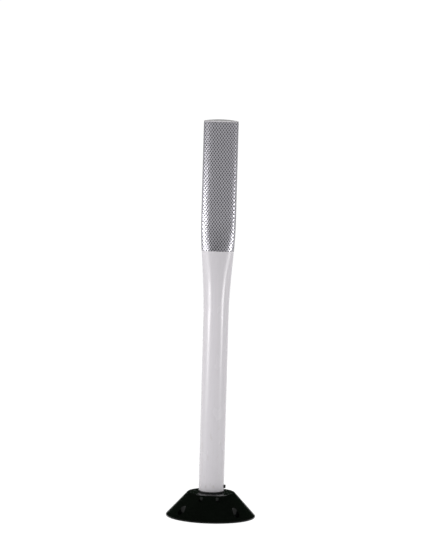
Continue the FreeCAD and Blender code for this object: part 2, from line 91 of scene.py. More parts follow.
# The pipe and the part of it that is drawn flat.
PIPE_RADIUS = TUBE_HIGH.y
FLAT_HALF_WIDTH = CAP_HIGH.x
PIPE_WALL = 3.0 * MM
FLAT_SIDE_RADIUS = 8.5 * MM
FLARE_START = 465.0 * MM
FLARE_END = 684.0 * MM

# The base moulding.
BASE_RADIUS = BASE_HIGH.x
LIP_HEIGHT = 3.0 * MM
PLATEAU_RADIUS = 54.0 * MM
RECESS_RADIUS = PLATE_HIGH.x
LEDGE_RADIUS = COVER_HIGH.x
ANCHOR_RING = 87.0 * MM
ANCHOR_POCKET_RADIUS = 9.0 * MM
ANCHOR_POCKET_FLOOR = 8.0 * MM
FERRULE_RADIUS = 8.0 * MM
FERRULE_HOLE = 6.6 * MM
GRIP_ANGLE = math.radians(18.0)
GRIP_RING = 62.0 * MM
GRIP_SIZE = (8.0 * MM, 8.5 * MM)
GRIP_FLOOR = 40.0 * MM
GUIDE_FLANGE = 3.6 * MM
GUIDE_HOLE = 15.0 * MM
FIT_GAP = 0.15 * MM

# The screws: number, radius of their circle, head height and radius, shank radius and pitch.
PLATE_SCREWS = (6, 44.0 * MM, 3.0 * MM, 4.6 * MM, 2.5 * MM, 0.8 * MM)
COVER_SCREWS = (4, 60.0 * MM, 1.7 * MM, 3.2 * MM, 1.5 * MM, 0.6 * MM)
ANCHOR_COUNT = 4

# The lock button lies along +X.
BUTTON_LEVEL = (BUTTON_LOW.z + BUTTON_HIGH.z) / 2
BUTTON_RADIUS = 4.2 * MM
BUTTON_FLANGE_RADIUS = 5.6 * MM
BUTTON_FLANGE_FRONT = 24.6 * MM
BUTTON_HOLE = 4.5 * MM
BUTTON_BORE = 5.9 * MM
BUTTON_BORE_FLOOR = 9.5 * MM
COIL_RADIUS = 4.0 * MM
COIL_WIRE = 0.45 * MM

# The tension unit.
CABLE_RADIUS = CABLE_HIGH.x
CABLE_HOLE = 3.6 * MM
GUIDE_MOUTH = 10.0 * MM
BUSH_HOLE = 5.0 * MM
BUSH_MOUTH = 6.0 * MM
WASHER_HOLE = 13.0 * MM
STUD_RADIUS = 4.0 * MM
STUD_HOLE = 4.3 * MM
SEAT_HUB_RADIUS = 12.5 * MM
SEAT_THICKNESS = 3.0 * MM
SPRING_WIRE = 2.4 * MM

# The sheeting.
FILM_GAP = 0.05 * MM
FILM_OVERLAP = 7.0 * MM
SEAM_WIDTH = 0.55 * MM
CELL_DEPTH = 0.04 * MM

# The studio, in metres, degrees and watts. Wide softboxes light the sides, and small bright cores draw
# the highlights: name, angle from the front, level, width, height, tilt and power.
SOFTBOX_DISTANCE = 2.0
SOFTBOXES = (
    ("left_softbox", -74.0, 0.36, 1.4, 0.50, 0.0, 4.0),
    ("left_core", -58.0, 0.33, 0.80, 0.24, 12.0, 11.5),
    ("right_softbox", 95.0, 0.42, 0.9, 0.58, 0.0, 0.8),
    ("right_core", 62.0, 0.34, 0.60, 0.26, -14.0, 8.5),
)
SUN_PLACE = (0.0, 3.0, 5.5)
FLOOR_HALF_WIDTH = 150.0
CAMERA_AZIMUTH = 4.0
CAMERA_DISTANCE = 6.0
CAMERA_HEIGHT = 1.095
CAMERA_AIM = (-0.0045, 0.0, 0.5463)
CAMERA_ROLL = 1.58


# ---------------------------------------------------------------- colour and nodes

def hex_colour(text):
    """An sRGB hex colour as linear red, green, blue and alpha."""
    channels = [int(text[i:i + 2], 16) / 255.0 for i in (1, 3, 5)]
    linear = [c / 12.92 if c <= 0.04045 else ((c + 0.055) / 1.055) ** 2.4 for c in channels]
    return (*linear, 1.0)


def add_node(tree, kind, inputs=None, **settings):
    """Add a node, with its settings, and its inputs as values or links."""
    node = tree.nodes.new(kind)
    for name, value in settings.items():
        setattr(node, name, value)
    for socket, value in (inputs or {}).items():
        if isinstance(value, bpy.types.NodeSocket):
            tree.links.new(value, node.inputs[socket])
        else:
            node.inputs[socket].default_value = value
    return node


def new_material(name, **shader_values):
    """A material with a Principled shader; returns the material, its tree and the shader."""
    material = bpy.data.materials.new(name)
    material.use_nodes = True
    tree = material.node_tree
    shader = tree.nodes["Principled BSDF"]
    for socket, value in shader_values.items():
        shader.inputs[socket.replace("_", " ")].default_value = value
    return material, tree, shader


def shade(colour, factor):
    """A lighter or darker shade of a linear colour."""
    return (*(channel * factor for channel in colour[:3]), 1.0)


def wandering(tree, spacing, stretch=(1.0, 1.0, 1.0), detail=3.0):
    """A value that wanders over the surface in marks a spacing apart; a stretch under 1 lengthens them."""
    place = add_node(tree, "ShaderNodeTexCoord")
    mapped = add_node(tree, "ShaderNodeMapping", {"Vector": place.outputs["Object"], "Scale": stretch})
    return add_node(tree, "ShaderNodeTexNoise", {
        "Vector": mapped.outputs["Vector"], "Scale": 1.0 / spacing, "Detail": detail,
    }).outputs["Fac"]


def mottle(tree, shader, cloud, first, second):
    """Let the base colour wander between two shades."""
    shades = add_node(tree, "ShaderNodeMix", {0: cloud, 6: first, 7: second}, data_type="RGBA")
    tree.links.new(shades.outputs[2], shader.inputs["Base Color"])


def set_relief(tree, shader, marks, roughness, grain, strength, depth):
    """Let the roughness follow marks between two values, and a bump follow a grain."""
    sheen = add_node(tree, "ShaderNodeMapRange", {
        "Value": marks, "From Min": 0.3, "From Max": 0.7, "To Min": roughness[0], "To Max": roughness[1],
    })
    tree.links.new(sheen.outputs["Result"], shader.inputs["Roughness"])
    bump = add_node(tree, "ShaderNodeBump", {"Height": grain, "Strength": strength, "Distance": depth})
    tree.links.new(bump.outputs["Normal"], shader.inputs["Normal"])


# ---------------------------------------------------------------- materials

def moulded_polyurethane(colour):
    """Black polyurethane moulding: glossy from a polished mould, with faint flow marks."""
    material, tree, shader = new_material("moulded_black_polyurethane", Specular_IOR_Level=0.18)
    mottle(tree, shader, wandering(tree, 36 * MM), colour, shade(colour, 1.85))
    # A polished mould's own marks are too fine to show; they are drawn 2 mm apart.
    set_relief(tree, shader, wandering(tree, 17 * MM, (1.0, 1.0, 3.0)), (0.14, 0.26),
               wandering(tree, 2 * MM, detail=4.0), 0.10, 0.3 * MM)
    return material


def extruded_polyethylene(colour):
    """White high-density polyethylene pipe: satin, with faint die lines and scuffs near the foot."""
    material, tree, shader = new_material("extruded_white_polyethylene", IOR=1.52)
    # Die lines are drawn about 4 mm apart, wider than real ones, so that they show.
    lines = wandering(tree, 4.2 * MM, (1.0, 1.0, 0.012))
    place = add_node(tree, "ShaderNodeTexCoord")
    height = add_node(tree, "ShaderNodeSeparateXYZ", {"Vector": place.outputs["Object"]}).outputs["Z"]
    low_part = add_node(tree, "ShaderNodeMapRange", {"Value": height, "From Min": 0.30, "From Max": 0.07})
    scuff = wandering(tree, 7.7 * MM, (1.0, 1.0, 0.35), detail=6.0)
    scuffed = add_node(tree, "ShaderNodeMapRange", {"Value": scuff, "From Min": 0.60, "From Max": 0.70})
    worn = add_node(tree, "ShaderNodeMath", {0: low_part.outputs["Result"], 1: scuffed.outputs["Result"]},
                    operation="MULTIPLY")
    worn = add_node(tree, "ShaderNodeMath", {0: worn.outputs[0], 1: 0.45}, operation="MULTIPLY")
    clean = add_node(tree, "ShaderNodeMix", {0: lines, 6: colour, 7: shade(colour, 0.93)},
                     data_type="RGBA")
    mottle(tree, shader, worn.outputs[0], clean.outputs[2], hex_colour("#B9B4AE"))
    set_relief(tree, shader, wandering(tree, 29 * MM, (1.0, 1.0, 0.4)), (0.20, 0.30), lines, 0.10, 0.1 * MM)
    return material


def prismatic_film(seam_colour, pitch_across, pitch_up):
    """Aluminised reflective sheeting under a clear glossy film: dark cells between lighter seams."""
    material, tree, shader = new_material("silver_reflective_sheeting", Metallic=1.0, Coat_Weight=1.0,
                                          Coat_Roughness=0.22, Coat_IOR=1.55, Roughness=0.24)
    uv = add_node(tree, "ShaderNodeUVMap", uv_map="sheet")
    split = add_node(tree, "ShaderNodeSeparateXYZ", {"Vector": uv.outputs["UV"]})
    across = add_node(tree, "ShaderNodeMath", {0: split.outputs["X"], 1: pitch_across}, operation="DIVIDE")
    up = add_node(tree, "ShaderNodeMath", {0: split.outputs["Y"], 1: pitch_up}, operation="DIVIDE")
    distances, cells = [], []
    for operation in ("ADD", "SUBTRACT"):
        diagonal = add_node(tree, "ShaderNodeMath", {0: across.outputs[0], 1: up.outputs[0]},
                            operation=operation).outputs[0]
        distances.append(add_node(tree, "ShaderNodeMath", {0: diagonal, 1: 0.5},
                                  operation="PINGPONG").outputs[0])
        cells.append(add_node(tree, "ShaderNodeMath", {0: diagonal}, operation="FLOOR").outputs[0])
    nearest = add_node(tree, "ShaderNodeMath", {0: distances[0], 1: distances[1]},
                       operation="MINIMUM").outputs[0]
    cell = add_node(tree, "ShaderNodeMapRange", {"Value": nearest, "From Min": 0.05, "From Max": 0.17})
    number = add_node(tree, "ShaderNodeCombineXYZ", {"X": cells[0], "Y": cells[1]})
    chance = add_node(tree, "ShaderNodeTexWhiteNoise", {"Vector": number.outputs["Vector"]},
                      noise_dimensions="2D")
    inside = add_node(tree, "ShaderNodeMix", {0: chance.outputs["Value"], 6: hex_colour("#38373C"),
                                              7: hex_colour("#48474D")}, data_type="RGBA")
    mottle(tree, shader, cell.outputs["Result"], seam_colour, inside.outputs[2])
    return material


def moulded_cap_plastic():
    """White moulded polyethylene cap: nearly the pipe's colour, with less gloss."""
    material, tree, shader = new_material("moulded_white_polyethylene", IOR=1.52)
    cloud = wandering(tree, 17 * MM)
    mottle(tree, shader, cloud, hex_colour("#DEDBDD"), hex_colour("#D3D0D2"))
    set_relief(tree, shader, cloud, (0.36, 0.48), wandering(tree, 1.4 * MM), 0.15, 0.1 * MM)
    return material


def plain_plastic(name, dark, light, roughness, grain):
    """A moulded plastic or rubber: two close shades, a roughness that wanders and a grain, by its spacing."""
    material, tree, shader = new_material(name)
    cloud = wandering(tree, 11 * MM)
    mottle(tree, shader, cloud, hex_colour(dark), hex_colour(light))
    set_relief(tree, shader, cloud, (roughness - 0.06, roughness + 0.06),
               wandering(tree, grain, detail=4.0), 0.25, 0.1 * MM)
    return material


def plain_metal(name, dark, light, roughness, stretch):
    """A bare or plated steel: metallic, with two close shades and drawn or turned marks."""
    material, tree, shader = new_material(name, Metallic=1.0)
    mottle(tree, shader, wandering(tree, 8.3 * MM), hex_colour(dark), hex_colour(light))
    marks = wandering(tree, 0.67 * MM, stretch)
    set_relief(tree, shader, marks, (roughness - 0.08, roughness + 0.08), marks, 0.12, 0.05 * MM)
    return material


# ---------------------------------------------------------------- mesh helpers

def lathe(profile, segments=96, closed=True):
    """Turn an outline of (radius, height) points about the upright axis."""
    bm = bmesh.new()
    verts = [bm.verts.new((radius, 0.0, height)) for radius, height in profile]
    following = verts[1:] + verts[:1] if closed else verts[1:]
    edges = [bm.edges.new(pair) for pair in zip(verts, following)]
    bmesh.ops.spin(bm, geom=verts + edges, cent=(0, 0, 0), axis=(0, 0, 1), dvec=(0, 0, 0),
                   angle=TURN, steps=segments, use_merge=True, use_duplicate=False)
    bmesh.ops.remove_doubles(bm, verts=bm.verts, dist=1e-7)
    bmesh.ops.recalc_face_normals(bm, faces=bm.faces)
    return bm


def rod(radius, low, high, segments):
    return lathe([(0.0, low), (radius, low), (radius, high), (0.0, high)], segments, closed=False)


def ring(inner, outer, low, high, segments=96):
    return lathe([(inner, low), (outer, low), (outer, high), (inner, high)], segments)


def flared_mouth(hole, size, level, inwards, steps):
    """Outline of a hole's rounded mouth, from the hole out to a face; inwards is the way into the hole."""
    angles = [TURN / 4 * i / steps for i in range(steps + 1)]
    return [(hole + size * (1 - math.cos(a)), level + inwards * size * (1 - math.sin(a))) for a in angles]


def round_edges(bm, edges, width, segments):
    bmesh.ops.bevel(bm, geom=edges, offset=width, offset_type="OFFSET", segments=segments,
                    profile=0.5, affect="EDGES", material=-1, clamp_overlap=True)
    return bm


def soften(bm, width, segments=2, least_angle=35.0):
    """Round every edge that turns by more than an angle."""
    sharp = [edge for edge in bm.edges
             if edge.is_manifold and edge.calc_face_angle(0.0) > math.radians(least_angle)]
    return round_edges(bm, sharp, width, segments)


def helix(section_radius, wire_radius, turns, rise, start, steps, wire_segments=10):
    """A round wire wound about the upright axis, as stretches of (turns, rise)."""
    bm = bmesh.new()
    made = bmesh.ops.create_circle(bm, cap_ends=False, segments=wire_segments, radius=wire_radius)
    bmesh.ops.rotate(bm, verts=made["verts"], cent=(0, 0, 0), matrix=Matrix.Rotation(TURN / 4, 3, "X"))
    bmesh.ops.translate(bm, verts=made["verts"], vec=(section_radius, 0, start))
    geometry = list(bm.verts) + list(bm.edges)
    for stretch_turns, stretch_rise in zip(turns, rise):
        count = max(2, round(abs(stretch_turns) * steps))
        spun = bmesh.ops.spin(bm, geom=geometry, cent=(0, 0, 0), axis=(0, 0, 1),
                              dvec=(0, 0, stretch_rise / count), angle=stretch_turns * TURN,
                              steps=count, use_merge=False, use_duplicate=False)
        geometry = spun["geom_last"]
    bmesh.ops.remove_doubles(bm, verts=bm.verts, dist=1e-7)
    close_ends(bm)
    return bm


def close_ends(bm):
    """Fill open ends and turn the faces outwards."""
    border = [edge for edge in bm.edges if edge.is_boundary]
    bmesh.ops.holes_fill(bm, edges=border, sides=0)
    bmesh.ops.recalc_face_normals(bm, faces=bm.faces)


def join(target, *others):
    """Add other shapes to a shape as loose parts of one piece."""
    for other in others:
        mesh = bpy.data.meshes.new("joined")
        other.to_mesh(mesh)
        other.free()
        target.from_mesh(mesh)
        bpy.data.meshes.remove(mesh)
    return target


def moved(bm, offset):
    bmesh.ops.translate(bm, verts=bm.verts, vec=offset)
    return bm


def ring_of(bm, count, ring_radius, first_angle=0.0):
    """Repeat a shape that stands on the axis evenly round a circle."""
    bmesh.ops.translate(bm, verts=bm.verts, vec=(ring_radius, 0, 0))
    bmesh.ops.rotate(bm, verts=bm.verts, cent=(0, 0, 0), matrix=Matrix.Rotation(first_angle, 3, "Z"))
    original = list(bm.verts) + list(bm.edges) + list(bm.faces)
    for i in range(1, count):
        copy = bmesh.ops.duplicate(bm, geom=original)["geom"]
        verts = [item for item in copy if isinstance(item, bmesh.types.BMVert)]
        bmesh.ops.rotate(bm, verts=verts, cent=(0, 0, 0), matrix=Matrix.Rotation(i * TURN / count, 3, "Z"))
    return bm


def temporary(bm):
    """A shape as a scene object, for a boolean."""
    mesh = bpy.data.meshes.new("temporary")
    bm.to_mesh(mesh)
    bm.free()
    item = bpy.data.objects.new("temporary", mesh)
    bpy.context.scene.collection.objects.link(item)
    return item


def cut(bm, cutter):
    """The shape less the cutter, with both handed over."""
    body, tool = temporary(bm), temporary(cutter)
    difference = body.modifiers.new("cut", "BOOLEAN")
    difference.operation = "DIFFERENCE"
    difference.solver = "EXACT"
    difference.object = tool
    evaluated = body.evaluated_get(bpy.context.evaluated_depsgraph_get())
    result = bmesh.new()
    result.from_mesh(evaluated.to_mesh())
    evaluated.to_mesh_clear()
    for item in (body, tool):
        mesh = item.data
        bpy.data.objects.remove(item)
        bpy.data.meshes.remove(mesh)
    bmesh.ops.remove_doubles(result, verts=result.verts, dist=1e-6)
    bmesh.ops.recalc_face_normals(result, faces=result.faces)
    return result


def along_x(bm, height):
    """Lay a shape that was made about the upright axis along +X, at a height."""
    bmesh.ops.rotate(bm, verts=bm.verts, cent=(0, 0, 0), matrix=Matrix.Rotation(TURN / 4, 3, "Y"))
    return moved(bm, (0, 0, height))


def screw(head_low, head_height, head_radius, tip, shank_radius, pitch):
    """A pan-headed socket screw pointing up, with a real helical thread."""
    shoulder = head_low + head_height
    root = shank_radius - 0.25 * pitch
    body = lathe([(0.0, head_low), (head_radius * 0.72, head_low),
                  (head_radius, head_low + head_height * 0.6), (head_radius, shoulder), (root, shoulder),
                  (root, tip - shank_radius * 0.6), (root * 0.5, tip), (0.0, tip)], 32, closed=False)
    socket = bmesh.new()
    bmesh.ops.create_cone(socket, cap_ends=True, segments=6, radius1=head_radius * 0.45,
                          radius2=head_radius * 0.45, depth=head_height * 1.2)
    moved(socket, (0, 0, head_low))
    body = cut(body, socket)
    turns = (tip - shank_radius - shoulder - pitch) / pitch
    thread = helix(root, 0.26 * pitch, [turns], [turns * pitch], shoulder + pitch * 0.5, 20, 4)
    return join(body, thread)


def hex_nut(low, high, corner_radius):
    """A hexagon nut with chamfered corners and a plain hole."""
    nut = bmesh.new()
    bmesh.ops.create_cone(nut, cap_ends=True, segments=6, radius1=corner_radius, radius2=corner_radius,
                          depth=high - low)
    moved(nut, (0, 0, (low + high) / 2))
    hole = rod(STUD_RADIUS - 0.3 * MM, low - MM, high + MM, 40)
    return soften(cut(nut, hole), 0.5 * MM)


def wire_rope(low, high, phase_from=None):
    """Six strands laid round a core; the lay's phase is counted from a height, so two lengths meet."""
    strand = CABLE_RADIUS / 3
    lay = 42.0 * MM
    turns = (high - low) / lay
    phase = TURN * (low - (low if phase_from is None else phase_from)) / lay
    rope = helix(CABLE_RADIUS - strand, strand * 1.02, [turns], [high - low], low, 24, 10)
    ring_of(rope, 6, 0.0)
    bmesh.ops.rotate(rope, verts=rope.verts, cent=(0, 0, 0), matrix=Matrix.Rotation(phase, 3, "Z"))
    core = bmesh.new()
    made = bmesh.ops.create_circle(core, cap_ends=False, segments=10, radius=strand * 1.05)
    moved(core, (0, 0, low))
    edges = list(core.edges)
    steps = max(2, math.ceil((high - low) / (3 * MM)))
    for _ in range(steps):
        grown = bmesh.ops.extrude_edge_only(core, edges=edges)["geom"]
        verts = [item for item in grown if isinstance(item, bmesh.types.BMVert)]
        edges = [item for item in grown if isinstance(item, bmesh.types.BMEdge)
                 and all(v in verts for v in item.verts)]
        bmesh.ops.translate(core, verts=verts, vec=(0, 0, (high - low) / steps))
    close_ends(core)
    return join(rope, core)


def finish_piece(bm, name, material, node, body=None, weighted=True):
    """Make a shape a finished piece that stands for a CAD node and rides on its body."""
    for face in bm.faces:
        face.smooth = True
    mesh = bpy.data.meshes.new(name)
    bm.to_mesh(mesh)
    bm.free()
    mesh.materials.append(material)
    piece = bpy.data.objects.new(name, mesh)
    bpy.context.scene.collection.objects.link(piece)
    if weighted:
        piece.modifiers.new("weighted_normal", "WEIGHTED_NORMAL").keep_sharp = True
    if body is not None:
        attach(piece, body)
    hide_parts(node)
    return piece


# ---------------------------------------------------------------- the pipe drawn flat

def smooth_step(t):
    t = min(max(t, 0.0), 1.0)
    return t * t * (3.0 - 2.0 * t)


def face_arc(half_width, half_depth, side_radius):
    """Radius and half angle of the face arcs of an oval made of two side arcs and two face arcs."""
    reach = half_width - side_radius
    radius = (reach ** 2 + half_depth ** 2 - side_radius ** 2) / (2.0 * (half_depth - side_radius))
    return radius, math.asin(reach / (radius - side_radius))


known_sections = {}


def flattened_section(height):
    """Half depth, side radius, face radius, face half angle and side reach of the pipe's outside.

    The length round the pipe stays the same all the way up.
    """
    key = round(height, 4)
    if key not in known_sections:
        share = smooth_step((height - FLARE_START) / (FLARE_END - FLARE_START))
        if share < 0.002:
            known_sections[key] = (PIPE_RADIUS, PIPE_RADIUS, PIPE_RADIUS, TURN / 8, 0.0)
        else:
            half_width = PIPE_RADIUS + share * (FLAT_HALF_WIDTH - PIPE_RADIUS)
            side_radius = PIPE_RADIUS - share ** 0.6 * (PIPE_RADIUS - FLAT_SIDE_RADIUS)
            low, high = side_radius + 1e-9, PIPE_RADIUS
            for _ in range(50):
                half_depth = (low + high) / 2.0
                radius, angle = face_arc(half_width, half_depth, side_radius)
                length = 4.0 * (side_radius * (TURN / 4 - angle) + radius * angle)
                if length > TURN * PIPE_RADIUS:
                    high = half_depth
                else:
                    low = half_depth
            known_sections[key] = (half_depth, side_radius, radius, angle, half_width - side_radius)
    return known_sections[key]


def drawn_flat(x, y, height):
    """Where a point of the round pipe goes when the pipe's top is drawn flat."""
    half_depth, side_radius, face_radius, face_angle, reach = flattened_section(height)
    offset = math.hypot(x, y) - PIPE_RADIUS
    angle = abs(math.atan2(x, -y))
    length = PIPE_RADIUS * min(angle, TURN / 2 - angle)
    if length <= face_radius * face_angle:
        bend = length / face_radius
        new_x = (face_radius + offset) * math.sin(bend)
        new_y = (face_radius - half_depth) - (face_radius + offset) * math.cos(bend)
    else:
        bend = face_angle + (length - face_radius * face_angle) / side_radius
        new_x = reach + (side_radius + offset) * math.sin(bend)
        new_y = -(side_radius + offset) * math.cos(bend)
    if angle > TURN / 4:
        new_y = -new_y
    return math.copysign(new_x, x), new_y


def draw_flat(bm):
    for vert in bm.verts:
        vert.co.x, vert.co.y = drawn_flat(vert.co.x, vert.co.y, vert.co.z)
    return bm


# ---------------------------------------------------------------- settings

class ReboundPostSettings(bpy.types.PropertyGroup):
    """Sizes and colours of the post that a user may change"""
    tube_colour: bpy.props.FloatVectorProperty(
        name="Tube Colour", description="Colour of the post's tube", subtype="COLOR", size=4,
        default=hex_colour("#D7D3D8"), min=0.0, max=1.0)
    base_colour: bpy.props.FloatVectorProperty(
        name="Base Colour", description="Colour of the base moulding", subtype="COLOR", size=4,
        default=hex_colour("#080B08"), min=0.0, max=1.0)
    seam_colour: bpy.props.FloatVectorProperty(
        name="Seam Colour", description="Colour of the seams between the sheeting's cells",
        subtype="COLOR", size=4, default=hex_colour("#AEACB2"), min=0.0, max=1.0)
    lattice_across: bpy.props.FloatProperty(
        name="Lattice Width", description="Width of one diamond of the sheeting's lattice",
        default=TURN * PIPE_RADIUS / 28, min=1 * MM, unit="LENGTH")
    lattice_up: bpy.props.FloatProperty(
        name="Lattice Height", description="Height of one diamond of the sheeting's lattice",
        default=8.9 * MM, min=1 * MM, unit="LENGTH")
    edge_softness: bpy.props.FloatProperty(
        name="Edge Softness", description="Rounding of the base moulding's edges",
        default=0.8 * MM, min=0.0, unit="LENGTH")
    floor_colour: bpy.props.FloatVectorProperty(
        name="Floor Colour", description="Colour of the studio floor", subtype="COLOR", size=4,
        default=hex_colour("#909090"), min=0.0, max=1.0)


# ---------------------------------------------------------------- pieces

class BuildBase(bpy.types.Operator):
    """Build the conical base moulding with its bolt pockets and grip slots"""
    bl_idname = "rebound_post.base"
    bl_label = "Base Moulding"

    def execute(self, context):
        settings = context.scene.rebound_post
        top = BASE_HIGH.z
        flange_seat = top - GUIDE_FLANGE
        slope = (BASE_RADIUS - PLATEAU_RADIUS) / (top - LIP_HEIGHT)
        flank = [(BASE_RADIUS - slope * (top - LIP_HEIGHT) * i / 4, LIP_HEIGHT + (top - LIP_HEIGHT) * i / 4)
                 for i in range(5)]
        shape = lathe([
            (LEDGE_RADIUS, 0.0), (BASE_RADIUS, 0.0), *flank,
            (GUIDE_HIGH.x, top), (GUIDE_HIGH.x, flange_seat), (GUIDE_HOLE, flange_seat),
            (GUIDE_HOLE, PLATE_HIGH.z), (RECESS_RADIUS, PLATE_HIGH.z), (RECESS_RADIUS, COVER_HIGH.z),
            (LEDGE_RADIUS, COVER_HIGH.z),
        ], segments=144)
        plateau_edge = [edge for edge in shape.edges
                        if all(abs(v.co.z - top) < 1e-6 and abs(v.co.xy.length - PLATEAU_RADIUS) < 1e-5
                               for v in edge.verts)]
        round_edges(shape, plateau_edge, 2.2 * MM, 6)
        below, above = -1.0 * MM, top + 4.0 * MM
        pockets = ring_of(lathe([
            (0.0, below), (FERRULE_RADIUS, below), (FERRULE_RADIUS, ANCHOR_POCKET_FLOOR),
            (ANCHOR_POCKET_RADIUS, ANCHOR_POCKET_FLOOR), (ANCHOR_POCKET_RADIUS, above), (0.0, above),
        ], segments=40, closed=False), ANCHOR_COUNT, ANCHOR_RING, TURN / 8)
        shape = cut(shape, pockets)
        for angle in (-GRIP_ANGLE, GRIP_ANGLE):
            slot = bmesh.new()
            bmesh.ops.create_cube(slot, size=1.0)
            bmesh.ops.scale(slot, verts=slot.verts, vec=(GRIP_SIZE[1], GRIP_SIZE[0], above - GRIP_FLOOR))
            moved(slot, (0, 0, (above + GRIP_FLOOR) / 2))
            upright = [edge for edge in slot.edges if abs(edge.verts[0].co.z - edge.verts[1].co.z) > MM]
            round_edges(slot, upright, 2.0 * MM, 4)
            shape = cut(shape, ring_of(slot, 2, GRIP_RING, angle - TURN / 4))
        soften(shape, settings.edge_softness, segments=3, least_angle=28.0)
        finish_piece(shape, "base_moulding", moulded_polyurethane(settings.base_colour), "base_cone",
                     "base")
        return {"FINISHED"}


class BuildBaseHardware(bpy.types.Operator):
    """Build the plate, sleeves, guide, cable stop, cover and screws inside the base"""
    bl_idname = "rebound_post.base_hardware"
    bl_label = "Base Hardware"

    def execute(self, context):
        zinc = plain_metal("zinc_plated_steel", "#9FA2A4", "#BDBFC1", 0.34, (1.0, 1.0, 0.2))
        nylon = plain_plastic("natural_nylon", "#CFC9B8", "#D9D4C6", 0.42, 1.4 * MM)
        cover_plastic = plain_plastic("black_polypropylene", "#131314", "#1C1C1D", 0.48, 1.1 * MM)
        sleeve = ring(FERRULE_HOLE, FERRULE_RADIUS - 0.1 * MM, 0.0, ANCHOR_POCKET_FLOOR, 48)
        soften(sleeve, 0.3 * MM)
        finish_piece(ring_of(sleeve, ANCHOR_COUNT, ANCHOR_RING, TURN / 8), "anchor_sleeves", zinc,
                     "anchor_ferrules", "base")
        count, circle, shank = PLATE_SCREWS[0], PLATE_SCREWS[1], PLATE_SCREWS[4]
        plate = ring(CABLE_HOLE, PLATE_HIGH.x, PLATE_LOW.z, PLATE_HIGH.z)
        holes = rod(shank + FIT_GAP, PLATE_LOW.z - MM, PLATE_HIGH.z + MM, 24)
        plate = cut(plate, ring_of(holes, count, circle))
        finish_piece(soften(plate, 0.4 * MM), "steel_core_plate", zinc, "core_plate", "base")
        flange = BASE_HIGH.z - GUIDE_FLANGE
        mouth = flared_mouth(CABLE_HOLE, GUIDE_MOUTH, GUIDE_HIGH.z, -1, 8)
        guide = lathe([(CABLE_HOLE, GUIDE_LOW.z), (GUIDE_HOLE - FIT_GAP, GUIDE_LOW.z),
                       (GUIDE_HOLE - FIT_GAP, flange), (GUIDE_HIGH.x, flange),
                       (GUIDE_HIGH.x, GUIDE_HIGH.z), *reversed(mouth)])
        finish_piece(soften(guide, 0.4 * MM), "nylon_cable_guide", nylon, "cable_guide",
                     "base")
        stop = rod(STOP_HIGH.x, STOP_LOW.z, STOP_HIGH.z, 64)
        finish_piece(soften(stop, 0.8 * MM, 3), "swaged_cable_stop", zinc, "cable_anchor",
                     "base")
        # The cover has a shallow round channel in its underside.
        low, channel = COVER_LOW.z, COVER_LOW.z + 0.8 * MM
        cover = lathe([(0.0, low), (18 * MM, low), (18.6 * MM, channel), (50 * MM, channel), (50.6 * MM, low),
                       (COVER_HIGH.x, low), (COVER_HIGH.x, COVER_HIGH.z), (0.0, COVER_HIGH.z)],
                      closed=False)
        count, circle, shank = COVER_SCREWS[0], COVER_SCREWS[1], COVER_SCREWS[4]
        holes = rod(shank + FIT_GAP, COVER_LOW.z - MM, COVER_HIGH.z + MM, 24)
        cover = cut(cover, ring_of(holes, count, circle))
        finish_piece(soften(cover, 0.3 * MM), "bottom_cover_disc", cover_plastic, "bottom_cover",
                     "base")
        for node, name, sizes in (("plate_screws", "core_plate_screws", PLATE_SCREWS),
                                  ("cover_screws", "bottom_cover_screws", COVER_SCREWS)):
            count, circle, head_height, head_radius, shank, pitch = sizes
            low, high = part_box(node)
            one = screw(low.z, head_height, head_radius, high.z, shank, pitch)
            finish_piece(ring_of(one, count, circle), name, zinc, node, "base")
        return {"FINISHED"}


